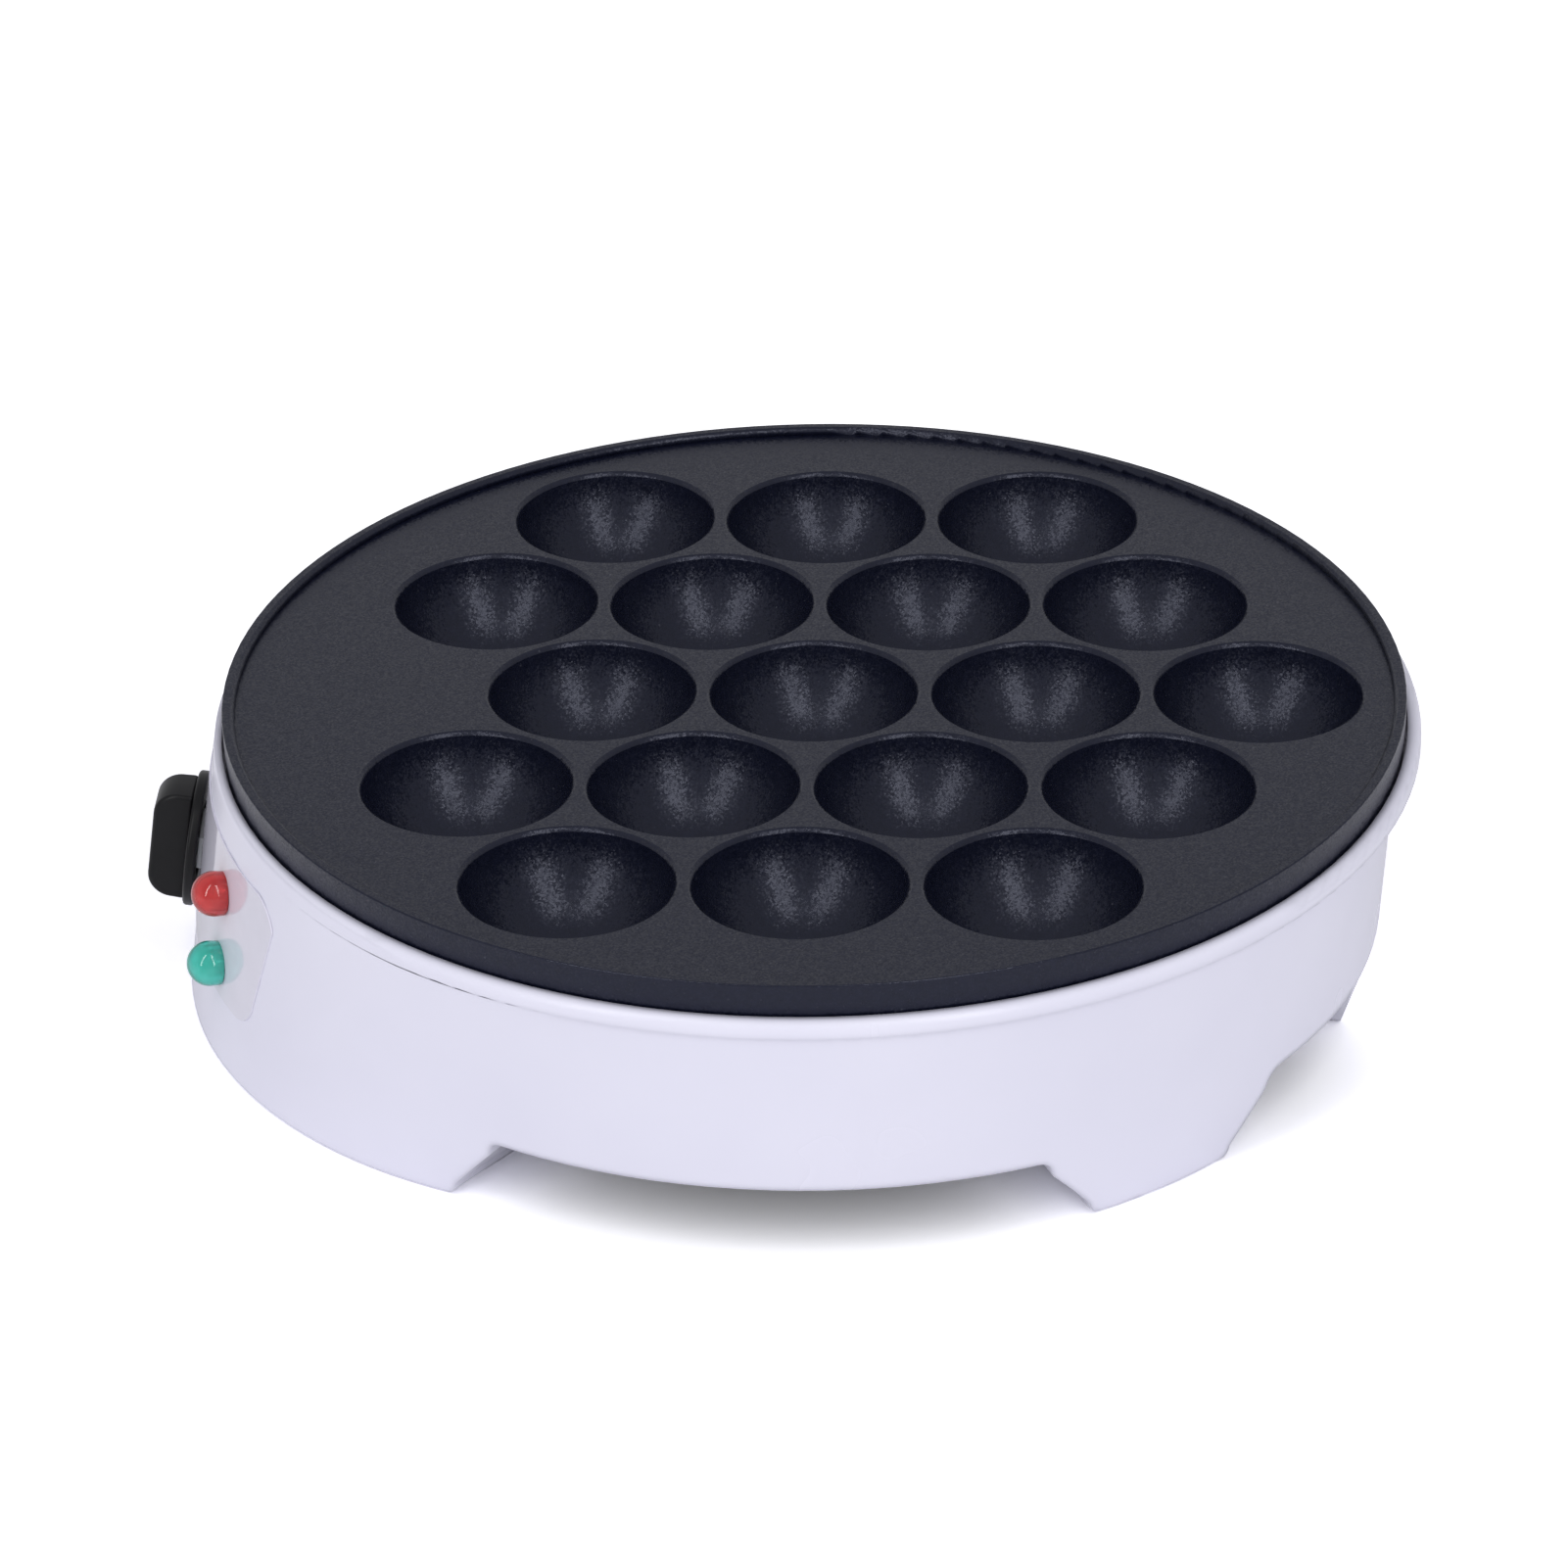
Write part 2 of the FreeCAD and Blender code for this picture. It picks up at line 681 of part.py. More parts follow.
def panel_hole(name, radius, frame):
    part = doc.addObject("Part::Cylinder", name)
    bind(part, Radius=radius, Height="12")
    part.Placement = frame
    return part


def at_inlet(piece, rise):
    """Puts a piece built about Z on the inlet's axis, a rise outside the wall's surface."""
    facing = Rotation(Vector(0, 0, 1), INLET_ANGLE) * Rotation(Vector(0, 1, 0), 90)
    x, y = polar(INLET_ANGLE, "%s + (%s)" % (INLET_RADIUS, rise))
    return place(piece, x="%s - %s" % (x, INLET_SHIFT), y=y, z="inlet_height",
                 axis=facing.Axis, angle=math.degrees(facing.Angle))


# Knob and thermostat
def control_knob():
    """One moulding: a round skirt with a grip bar, a recess for the nut and a bore."""
    body = new_body("control_knob")
    top = "knob_rise + knob_skirt_thick"
    recess_top = "nut_thick + 0.7"
    skirt = outline(body_sketch(body, "XZ_Plane", "skirt_section"), [
        ("nut_radius + 0.8", "knob_rise"),
        ("knob_radius", "knob_rise"),
        ("knob_radius", top + " - 0.6", ("0.6", 1)),
        ("knob_radius - 0.6", top),
        ("spindle_radius + 0.04", top),
        ("spindle_radius + 0.04", recess_top),
        ("nut_radius + 0.8", recess_top)])
    turn(body, "Revolution", skirt, "skirt")
    half = "grip_length / 2"
    crown = top + " + grip_depth"
    grip = outline(body_sketch(body, "XZ_Plane", "grip_section"), [
        ("-%s" % half, recess_top + " + 0.3"),
        (half, recess_top + " + 0.3"),
        (half, crown + " - grip_round", ("grip_round", 1)),
        (half + " - grip_round", crown),
        ("grip_round - %s" % half, crown, ("grip_round", 1)),
        ("-%s" % half, crown + " - grip_round")])
    bar = pad(body, grip, "grip_width", "grip", midplane=True)
    level = size(top)
    round_edges(body, bar, "grip_edge", "soft_grip",
                lambda e: e.BoundBox.ZMin > level - 0.01 and e.BoundBox.ZMax > level + 1
                and e.BoundBox.YMax - e.BoundBox.YMin < 0.01)
    bore = body.newObject("PartDesign::SubtractiveCylinder", "spindle_bore")
    bind(bore, Radius="spindle_radius + 0.04", Height="grip_depth")
    body.Placement = knob_frame()
    return body


def thermostat_spindle():
    """Shaft with a flat towards the knob's upper side, from the thermostat to the knob."""
    shaft = cylinder("shaft", "spindle_radius", "grip_depth - 0.4 + thermostat_back - 0.6",
                     z="0.6 - thermostat_back")
    flat = block("shaft_flat", "spindle_flat + 1", "8", "10", x="spindle_radius - spindle_flat",
                 y="-4", z="nut_thick + 0.8")
    return standing("thermostat_spindle", cut("flatted_shaft", shaft, flat))


def standing(label, piece):
    """Puts a piece built about the knob's axis on the panel."""
    stand = doc.addObject("Part::Compound", label)
    stand.Links = [piece]
    stand.Placement = knob_frame()
    return stand


def knob_clip():
    """Spring strip between the spindle's flat and the knob's bore."""
    strip = block("clip_strip", "0.7", "2.4", "grip_depth - nut_thick - 1.1", x="spindle_radius - spindle_flat + 0.05",
                  y="-1.2", z="nut_thick + 0.9")
    return standing("knob_clip", strip)


def thermostat_bush():
    """Threaded bush through the panel that guides the spindle."""
    bush = turned("bush", [
        ("spindle_radius + spindle_gap", "-thermostat_back"),
        ("bush_radius + 1.6", "-thermostat_back"),
        ("bush_radius + 1.6", "1 - thermostat_back"),
        ("bush_radius", "1 - thermostat_back"),
        ("bush_radius", "nut_thick + 0.2"),
        ("spindle_radius + spindle_gap", "nut_thick + 0.2")])
    return standing("thermostat_bush", bush)


def thermostat_nut():
    """Flat hexagon nut that clamps the bush on the panel."""
    hexagon = doc.addObject("Part::Prism", "nut_blank")
    hexagon.Polygon = 6
    bind(hexagon, Circumradius="nut_radius", Height="nut_thick - 0.02")
    place(hexagon, z="0.02")
    bore = cylinder("nut_bore", "bush_radius + 0.02", "nut_thick + 2", z="-1")
    return standing("thermostat_nut", cut("bored_nut", hexagon, bore))


def thermostat_body():
    """Box of the thermostat behind the panel, with rounded upright edges and two blades."""
    body = new_body("thermostat_body")
    floor = Vector(0, 0, -size("thermostat_back") - size("thermostat_depth"))
    sketch = body_sketch(body, "XY_Plane", "thermostat_outline", floor)
    sketch.setExpression(".AttachmentOffset.Base.z", formula("-thermostat_back - thermostat_depth"))
    outline(sketch, [
        ("-thermostat_height / 2", "-thermostat_width / 2"),
        ("thermostat_height / 2", "-thermostat_width / 2"),
        ("thermostat_height / 2", "thermostat_width / 2"),
        ("-thermostat_height / 2", "thermostat_width / 2")])
    box = pad(body, sketch, "thermostat_depth", "box")
    round_edges(body, box, "1.5", "soft_box", lambda e: runs_along(e, Vector(0, 0, 1)))
    for side, y in (("low", "-8"), ("high", "8")):
        blade = body.newObject("PartDesign::AdditiveBox", side + "_blade")
        bind(blade, Length="6.3", Width="0.8", Height="6.5")
        place(blade, x="-3.15", y=y, z="-thermostat_back - thermostat_depth - 6")
    body.Placement = knob_frame()
    return body


def sensor_bulb():
    """Sensing bulb that lies under the plate where the pattern leaves a well out."""
    tube = cylinder("bulb_tube", "bulb_radius", "bulb_length", x="bulb_length + 1 - pan_top_radius", z=BULB_Z,
                    axis=Vector(0, 1, 0), angle=-90)
    doc.recompute()
    rounded = doc.addObject("Part::Fillet", "sensor_bulb")
    rounded.Base = tube
    rounded.Edges = [(k + 1, 1.6, 1.6) for k, e in enumerate(tube.Shape.Edges)
                     if isinstance(e.Curve, Part.Circle)]
    return rounded


def capillary_tube():
    """Thin tube from the bulb over the reflector's edge to the thermostat."""
    path = doc.addObject("Sketcher::SketchObject", "capillary_path")
    path.Placement = Placement(Vector(), Rotation(Vector(1, 0, 0), 90))
    outline(path, [
        ("0.9 - pan_top_radius", BULB_Z),
        ("-pan_top_radius - 2", BULB_Z, ("6", 1)),
        ("-pan_top_radius - 8", BULB_Z + " - 6"),
        ("-pan_top_radius - 8", "knob_height + thermostat_height / 2 + 1.5")], closed=False)
    return pipe("capillary_tube", path, 3, "capillary_radius", x="0.9 - pan_top_radius", z=BULB_Z,
                axis=Vector(0, 1, 0), angle=-90)


def pipe(name, path, edges, radius, **where):
    """Round bar swept along the edges of a path from a ring at its start."""
    part = doc.addObject("Part::Sweep", name)
    part.Sections = [ring(name + "_ring", radius, **where)]
    part.Spine = (path, ["Edge%d" % (k + 1) for k in range(edges)])
    part.Solid = True
    part.Frenet = False
    return part


# Lamps
def lens(label, which):
    """Hollow domed lens whose stem passes through the panel."""
    body = turned(label, [
        ("lens_stem - 1", "0.3 - lens_length"),
        ("lens_stem", "0.3 - lens_length"),
        ("lens_stem", "label_thick + 0.15"),
        ("lens_radius", "label_thick + 0.15"),
        ("lens_radius", "lens_rise - lens_radius", ("lens_radius", 1)),
        ("0", "lens_rise"),
        ("0", "lens_rise - 2", ("lens_stem - 1", -1)),
        ("lens_stem - 1", "lens_rise - 1 - lens_stem")])
    body.Placement = lamp_frame(which)
    return body


def on_lamps(label, corners):
    """The same turned piece on both lamp axes."""
    copies = []
    for which in ("lamp_upper", "lamp_lower"):
        piece = turned("%s_%s" % (label, which), corners)
        piece.Placement = lamp_frame(which)
        copies.append(piece)
    return group(label, copies)


def neon_lamps():
    inner = "lens_stem - 1.5"
    return on_lamps("neon_lamps", [
        ("0", "-lens_length - 4"),
        (inner, "-lens_length - 4"),
        (inner, "0", (inner, 1)),
        ("0", inner)])


def lens_clips():
    inside = "-wall_thick - 1.4"
    return on_lamps("lens_clips", [
        ("lens_stem + 0.05", inside),
        ("lens_stem + 2.4", inside),
        ("lens_stem + 2.4", inside + " + 0.8"),
        ("lens_stem + 0.05", inside + " + 0.8")])


def panel_label():
    """Clear film on the panel, cut from a layer that follows the panel's surface."""
    layer = cut("label_layer", panel_form("label_skin", "label_thick"),
                panel_form("label_bed", "0.02"))
    body = new_body("label_die")
    sketch = outline(body_sketch(body, "YZ_Plane", "label_outline"), [
        ("-label_bottom_half", "label_bottom"),
        ("label_bottom_half", "label_bottom", ("label_round", 1)),
        ("label_bottom_half + 6", "label_bottom + 6"),
        ("label_top_half", "label_top - label_round * 0.8", ("label_round", 1)),
        ("label_top_half - label_round * 0.8", "label_top"),
        ("label_round * 0.8 - label_top_half", "label_top", ("label_round", 1)),
        ("-label_top_half", "label_top - label_round * 0.8"),
        ("-label_bottom_half - 6", "label_bottom + 6", ("label_round", 1))])
    feature = pad(body, sketch, "rim_radius + 30", "die")
    feature.Reversed = True
    film = common("uncut_label", layer, body)
    holes = [panel_hole("label_knob_hole", "nut_radius + 0.4", knob_frame(-6))]
    for lamp in ("lamp_upper", "lamp_lower"):
        holes.append(panel_hole("label_" + lamp + "_hole", "lens_stem + lens_gap", lamp_frame(lamp, -6)))
    return cut("panel_label", film, fuse("label_holes", *holes))


# Under the plate
def reflector_pan():
    """Pressed dish under the element, hung by four ears between the posts and the plate."""
    dish = turned("dish", [
        ("0", "pan_bottom"),
        ("pan_foot_radius", "pan_bottom"),
        ("pan_top_radius", "post_top"),
        ("pan_top_radius + pan_flange", "post_top"),
        ("pan_top_radius + pan_flange", "post_top + pan_thick"),
        ("pan_top_radius - 0.3", "post_top + pan_thick"),
        ("pan_foot_radius - 0.3", "pan_bottom + pan_thick"),
        ("0", "pan_bottom + pan_thick")])
    ears = []
    holes = []
    for angle in POST_ANGLES:
        x, y = polar(angle, "pan_top_radius")
        shift_x, shift_y = polar(angle + 90, "-post_radius")
        ears.append(block("ear", "post_circle - pan_top_radius + 4.6", "2 * post_radius", "pan_thick",
                          x="%s + %s" % (x, shift_x), y="%s + %s" % (y, shift_y), z="post_top",
                          axis=Vector(0, 0, 1), angle=angle))
        holes.append(post("ear_hole", angle, "post_bore + 0.1", "post_circle", "post_top - 1", "4"))
    for side in ("-1", "1"):
        holes.append(cylinder("leg_hole", "insulator_radius + 0.2", "30",
                              x="-element_leg_end", y="%s * element_leg_spread" % side,
                              z="element_height", axis=Vector(0, 1, 0), angle=90))
    return cut("reflector_pan", fuse("eared_dish", dish, *ears), fuse("pan_holes", *holes))


def leg_joint(circle, bend, spread):
    """Where a bar leaves a ring through a bend into a leg along X: the X at which the
    leg is straight, and the X and Y at which the bend meets the ring."""
    straight = "sqrt((%s + %s) ^ 2 - (%s + %s) ^ 2)" % (circle, bend, spread, bend)
    share = "(%s / (%s + %s))" % (circle, circle, bend)
    return straight, "(%s * %s)" % (straight, share), "((%s + %s) * %s)" % (spread, bend, share)


def heating_element():
    """Sheathed rod bent to an open ring, its two legs run out towards the panel."""
    straight, meet_x, meet_y = leg_joint("element_radius", "element_bend", "element_leg_spread")
    path = doc.addObject("Sketcher::SketchObject", "element_path")
    place(path, z="element_height")
    outline(path, [
        ("-element_leg_end", "element_leg_spread"),
        ("-" + straight, "element_leg_spread", ("element_bend", 1)),
        ("-" + meet_x, meet_y, ("element_radius", -1)),
        ("element_radius", "0", ("element_radius", -1)),
        ("-" + meet_x, "-" + meet_y, ("element_bend", 1)),
        ("-" + straight, "-element_leg_spread"),
        ("-element_leg_end", "-element_leg_spread")], closed=False)
    return pipe("heating_element", path, 6, "element_tube", x="-element_leg_end",
                y="element_leg_spread", z="element_height", axis=Vector(0, 1, 0), angle=90)


def element_insulators():
    """Ceramic sleeves where the legs pass through the reflector."""
    sleeves = []
    for side in ("-1", "1"):
        spot = {"y": "%s * element_leg_spread" % side, "z": "element_height",
                "axis": Vector(0, 1, 0), "angle": 90}
        blank = cylinder("sleeve", "insulator_radius", "insulator_length",
                         x="3 - element_leg_end", **spot)
        bore = cylinder("sleeve_bore", "element_tube + 0.1", "insulator_length + 4",
                        x="1 - element_leg_end", **spot)
        sleeves.append(cut("bored_sleeve", blank, bore))
    return group("element_insulators", sleeves)


def element_clips():
    """Three upright brackets on the reflector that the rod passes through."""
    clips = []
    for angle in (-75, 0, 75):
        foot = block("clip_foot", "clip_width", "7", "clip_thick", x="-clip_width / 2", y="-3.5")
        plate = block("clip_plate", "clip_width + 3", "clip_thick",
                      "element_height - pan_bottom - pan_thick + element_tube + 1.5",
                      x="-clip_width / 2 - 1.5", y="-clip_thick / 2")
        hole = cylinder("clip_hole", "element_tube + 0.1", "6", y="3",
                        z="element_height - pan_bottom - pan_thick", axis=Vector(1, 0, 0), angle=90)
        piece = group("clip", [cut("bored_clip", fuse("clip_blank", foot, plate), hole)])
        x, y = polar(angle, "element_radius")
        clips.append(place(piece, x=x, y=y, z="pan_bottom + pan_thick",
                           axis=Vector(0, 0, 1), angle=angle))
    return group("element_clips", clips)


# Screws
def screw(name, head, tall, shank, length):
    """Pan head screw that points up, its head's underside at zero."""
    return turned(name, [
        ("0", "-(%s)" % tall),
        ("(%s) - 0.6" % head, "-(%s)" % tall, ("0.6", 1)),
        (head, "0.6 - (%s)" % tall),
        (head, "0"),
        (shank, "0"),
        (shank, "(%s) - 0.8" % length),
        ("(%s) - 0.8" % shank, length),
        ("0", length)])


def around(label, make, angles, circle, height):
    """Copies of a piece at several angles round the middle."""
    copies = []
    for angle in angles:
        x, y = polar(angle, circle)
        copies.append(place(make(), x=x, y=y, z=height, axis=Vector(0, 0, 1), angle=angle))
    return group(label, copies)


def plate_screws():
    return around("plate_screws", lambda: screw("plate_screw", "post_bore + 1.4", "2",
                  "post_bore - 0.3", "plate_screw_length"), POST_ANGLES, "post_circle",
                  "arch_height + 3 - washer_thick")


def plate_washers():
    def washer():
        blank = cylinder("washer_blank", "post_bore + 1.7", "washer_thick")
        return cut("washer", blank, cylinder("washer_bore", "post_bore", "washer_thick + 2", z="-1"))
    return around("plate_washers", washer, POST_ANGLES, "post_circle",
                  "arch_height + 3 - washer_thick")


def base_screws():
    return around("base_screws", lambda: screw("base_screw", "screw_head_radius",
                  "screw_head_height", "screw_radius - 0.05", "screw_length"),
                  COVER_SCREW_ANGLES, "cover_screw_circle", "arch_height - cover_thick - 0.05")


def foot_pads():
    return around("foot_pads", lambda: cylinder("foot_pad", "pad_radius", "pad_thick"),
                  PAD_ANGLES, "pad_circle", "0")


def base_cover():
    """Steel sheet that closes the underside between the feet."""
    sheet_disc = cylinder("cover_disc", "wall_foot_radius - 1.4", "cover_thick",
                          z="arch_height - cover_thick - 0.05")
    middle = cylinder("cover_middle", "wall_foot_radius - foot_depth - cover_gap", "arch_height")
    form = common("cover_form", sheet_disc,
                  fuse("cover_lobes", middle, *arches("_cover", "-cover_gap")))
    holes = [post("cover_hole", a, "screw_radius + 0.2", "cover_screw_circle", "arch_height - 6",
                  "10") for a in COVER_SCREW_ANGLES]
    return cut("base_cover", form, fuse("cover_holes", *holes))


# Wiring
def cord_grommet():
    """Bushing in the wall where the cord comes in."""
    wall = "wall_thick + 0.8"
    body = turned("cord_grommet", [
        ("cord_radius", "-(%s) - 1.4" % wall),
        ("inlet_radius + grommet_lip", "-(%s) - 1.4" % wall),
        ("inlet_radius + grommet_lip", "-(%s)" % wall),
        ("inlet_radius - 0.05", "-(%s)" % wall),
        ("inlet_radius - 0.05", "0.6"),
        ("inlet_radius + grommet_lip", "0.6"),
        ("inlet_radius + grommet_lip", "1.2", ("0.8", 1)),
        ("inlet_radius + grommet_lip - 0.8", "2"),
        ("cord_radius", "2")])
    return at_inlet(body, "0")


def terminal_block():
    """Ceramic block in the rear foot with two wire bores."""
    blank = block("terminal_blank", "terminal_length", "terminal_width", "terminal_height",
                  x="pad_circle - 10", y="-terminal_width / 2", z="floor_thick + 0.05")
    bores = [cylinder("terminal_bore", "wire_radius + 0.1", "8", x="pad_circle - 11",
                      y="%s * terminal_width / 4" % side, z=WIRE_Z, axis=Vector(0, 1, 0), angle=90)
             for side in ("-1", "1")]
    return cut("terminal_block", blank, fuse("terminal_bores", *bores))


def hookup_wires():
    """Two sleeved wires that run round the floor from the rear foot to the chin."""
    wires = []
    straight, meet_x, meet_y = leg_joint("wire_circle", "8", "terminal_width / 4")
    for side in (1, -1):
        across = "%s * terminal_width / 4" % side
        path = doc.addObject("Sketcher::SketchObject", "wire_path")
        place(path, z=WIRE_Z)
        outline(path, [
            ("pad_circle - 5", across),
            (straight, across, ("8", -side)),
            (meet_x, "%s * %s" % (side, meet_y), ("wire_circle", side)),
            ("-" + meet_x, "%s * %s" % (side, meet_y), ("8", -side)),
            ("-" + straight, across),
            ("-wire_circle - 14", across)], closed=False)
        wires.append(pipe("wire", path, 5, "wire_radius", x="pad_circle - 5", y=across, z=WIRE_Z,
                          axis=Vector(0, 1, 0), angle=90))
    return group("hookup_wires", wires)


def thermal_fuse():
    """Fuse with two leads, held against the underside of the reflector."""
    body = turned("thermal_fuse", [
        ("0", "-fuse_length"),
        ("0.5", "-fuse_length"),
        ("0.5", "-fuse_length / 2"),
        ("fuse_radius", "-fuse_length / 2"),
        ("fuse_radius", "fuse_length / 2"),
        ("0.5", "fuse_length / 2"),
        ("0.5", "fuse_length"),
        ("0", "fuse_length")])
    return place(body, x="-element_radius", z="pan_bottom - fuse_radius - 0.5",
                 axis=Vector(1, 0, 0), angle=90)


def fuse_clamp():
    """Strap that carries the fuse under the reflector."""
    blank = block("strap", "4 * fuse_radius + 6", "5", "2 * fuse_radius + 1.3",
                  x="-element_radius - 2 * fuse_radius - 3", y="-2.5",
                  z="pan_bottom - 2 * fuse_radius - 1.35")
    hollow = cylinder("strap_bore", "fuse_radius + 0.05", "9", x="-element_radius", y="4.5",
                      z="pan_bottom - fuse_radius - 0.5", axis=Vector(1, 0, 0), angle=90)
    sides = [block("strap_side", "fuse_radius + 4", "7", "2 * fuse_radius + 0.7", y="-3.5",
                   x="-element_radius " + shift, z="pan_bottom - 2 * fuse_radius - 1.55")
             for shift in ("+ fuse_radius + 0.8", "- 2 * fuse_radius - 4.8")]
    return cut("fuse_clamp", blank, fuse("strap_tools", hollow, *sides))


PIECES = [
    cooking_plate(), housing(), control_knob(), knob_clip(), thermostat_spindle(),
    thermostat_bush(), thermostat_nut(), thermostat_body(), sensor_bulb(), capillary_tube(),
    lens("red_lens", "lamp_upper"), lens("green_lens", "lamp_lower"), neon_lamps(),
    lens_clips(), panel_label(), reflector_pan(), heating_element(), element_insulators(),
    element_clips(), plate_screws(), plate_washers(), base_screws(), foot_pads(),
    base_cover(), cord_grommet(), terminal_block(), hookup_wires(), thermal_fuse(),
    fuse_clamp()]


def write_steps():
    """Writes each piece to parts/ once the whole document is found sound."""
    doc.recompute()
    for thing in doc.Objects:
        faults = [word for word in thing.State if word in ("Invalid", "Error")]
        if faults:
            raise RuntimeError("%s is %s" % (thing.Name, faults))
    os.makedirs("parts", exist_ok=True)
    for piece in PIECES:
        if piece.Shape.isNull() or not piece.Shape.isValid():
            raise RuntimeError("%s has no sound shape" % piece.Label)
        piece.Shape.exportStep("parts/%s.step" % piece.Label)


write_steps()
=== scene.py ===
# %% [markdown]
# # A takoyaki maker on a pale table
# The object is a round countertop cooker. A dark cast plate with half-ball wells sits in
# a white moulded housing, which stands on feet with arches between them. On the left the
# housing bulges into a panel with a black bar knob and two small lamps.
# The solid model comes in first as a fixed frame, and its pieces get their finishes. The
# knob and the two lamp lenses are then modelled again, at the same places.

import math

import bpy
from mathutils import Matrix, Vector


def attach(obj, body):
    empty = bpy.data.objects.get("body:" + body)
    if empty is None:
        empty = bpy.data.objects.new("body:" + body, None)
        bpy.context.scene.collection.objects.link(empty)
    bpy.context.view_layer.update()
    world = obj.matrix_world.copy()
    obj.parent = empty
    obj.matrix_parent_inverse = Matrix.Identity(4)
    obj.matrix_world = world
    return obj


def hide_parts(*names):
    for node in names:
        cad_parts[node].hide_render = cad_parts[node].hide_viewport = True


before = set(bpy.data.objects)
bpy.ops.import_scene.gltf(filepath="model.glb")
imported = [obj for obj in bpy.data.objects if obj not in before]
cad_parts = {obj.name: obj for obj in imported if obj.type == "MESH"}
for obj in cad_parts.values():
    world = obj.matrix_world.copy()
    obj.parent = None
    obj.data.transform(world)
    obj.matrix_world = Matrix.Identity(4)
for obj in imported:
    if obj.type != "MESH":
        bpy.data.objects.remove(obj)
bpy.ops.object.select_all(action="DESELECT")
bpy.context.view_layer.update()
scene = bpy.context.scene
scene.view_settings.view_transform = "Standard"

# %% [markdown]
# ## Camera
# The photograph looks down at about 29 degrees from 1.3 metres away, turned two degrees
# to one side. A long lens of 152 mm keeps the ellipses calm.

# %% Camera at the photograph's place
camera = bpy.data.objects.new("camera", bpy.data.cameras.new("camera"))
scene.collection.objects.link(camera)
camera.location = (0.04788, -1.12708, 0.66737)
camera.rotation_euler = [math.radians(a) for a in (60.888, 1.0135, 2.1787)]
camera.data.lens = 151.74
camera.data.sensor_width = 36
camera.data.clip_start = 0.05
scene.camera = camera

# %% [markdown]
# ## Materials
# Colours are written as they look on a screen, so one function turns them to the linear
# values that the shader works with. A second adds a node, sets it up and links what feeds
# it. Two more start a finish and lay a ramp of colours. Everything else about a finish is
# said where the finish is made.

# %% Four helpers for finishes
def linear(code):
    """The shader's linear colour of an sRGB hex value such as 'ebeafa'."""
    parts = [int(code[k:k + 2], 16) / 255 for k in (0, 2, 4)]
    return [c / 12.92 if c <= 0.04045 else ((c + 0.055) / 1.055) ** 2.4 for c in parts] + [1.0]


def add(finish, kind, settings=None, **inputs):
    """Adds a node. An input is given by its name, or by its number as i0, i1 and on, and
    is a plain value or a socket of another node."""
    node = finish.node_tree.nodes.new("ShaderNode" + kind)
    for name, value in (settings or {}).items():
        setattr(node, name, value)
    for name, value in inputs.items():
        socket = node.inputs[int(name[1:]) if name[0] == "i" and name[1:].isdigit()
                             else name.replace("_", " ")]
        if isinstance(value, bpy.types.NodeSocket):
            finish.node_tree.links.new(value, socket)
        else:
            socket.default_value = value
    return node


def finish_called(name, **shader):
    """A new finish, its main shader and the object's own coordinates."""
    finish = bpy.data.materials.new(name)
    finish.use_nodes = True
    finish.node_tree.nodes.clear()
    main = add(finish, "BsdfPrincipled", **shader)
    add(finish, "OutputMaterial", Surface=main.outputs[0])
    place = add(finish, "TexCoord").outputs["Object"]
    return finish, main, place


def ramp(finish, factor, stops):
    """A colour ramp with stops of (position, hex)."""
    node = add(finish, "ValToRGB", Fac=factor)
    band = node.color_ramp
    for position, _ in stops[2:]:
        band.elements.new(position)
    for stop, (position, code) in zip(band.elements, stops):
        stop.position = position
        stop.color = linear(code)
    return node.outputs["Color"]


# %% [markdown]
# ### Non-stick coating on cast aluminium
# The plate is sprayed with a dark PTFE coating that holds fine mica, and baked. The flat
# top looks blue-grey and satin. In the wells, where a lamp is mirrored, the flakes
# sparkle: each cell of a Voronoi pattern 0.35 mm wide leans its own way, so it catches
# the lamp or misses it. Where the surroundings are even, the same flakes hardly show.

# %% Coating of the plate
def coated_plate():
    finish, main, place = finish_called("nonstick_coating", IOR=1.45, Specular_IOR_Level=0.54,
                                        Specular_Tint=(0.78, 0.81, 1.0, 1.0))
    link = finish.node_tree.links.new
    cloud = add(finish, "TexNoise", Vector=place, Scale=700.0, Detail=3.0)
    flakes = add(finish, "TexVoronoi", {"feature": "F1"}, Vector=place, Scale=2900.0)
    mica = add(finish, "MapRange", Value=flakes.outputs["Color"], From_Min=0.93, From_Max=1.0)
    tone = ramp(finish, cloud.outputs["Fac"], [(0.30, "0a0d1c"), (0.75, "101324")])
    mixed = add(finish, "Mix", {"data_type": "RGBA"}, i0=mica.outputs[0], i6=tone,
                i7=linear("3e3f49"))
    link(mixed.outputs[2], main.inputs["Base Color"])
    rough = add(finish, "MapRange", Value=cloud.outputs["Fac"], To_Min=0.25, To_Max=0.33)
    link(rough.outputs[0], main.inputs["Roughness"])
    facing = add(finish, "NewGeometry").outputs["Normal"]
    lean = add(finish, "VectorMath", {"operation": "SUBTRACT"}, i0=flakes.outputs["Color"],
               i1=(0.5, 0.5, 0.5))
    lean = add(finish, "VectorMath", {"operation": "SCALE"}, i0=lean.outputs[0], Scale=0.17)
    lean = add(finish, "VectorMath", {"operation": "ADD"}, i0=facing, i1=lean.outputs[0])
    lean = add(finish, "VectorMath", {"operation": "NORMALIZE"}, i0=lean.outputs[0])
    grain = add(finish, "TexNoise", Vector=place, Scale=1500.0, Detail=2.0)
    bump = add(finish, "Bump", Height=grain.outputs["Fac"], Strength=0.25, Distance=0.00008,
               Normal=lean.outputs[0])
    link(bump.outputs[0], main.inputs["Normal"])
    return finish


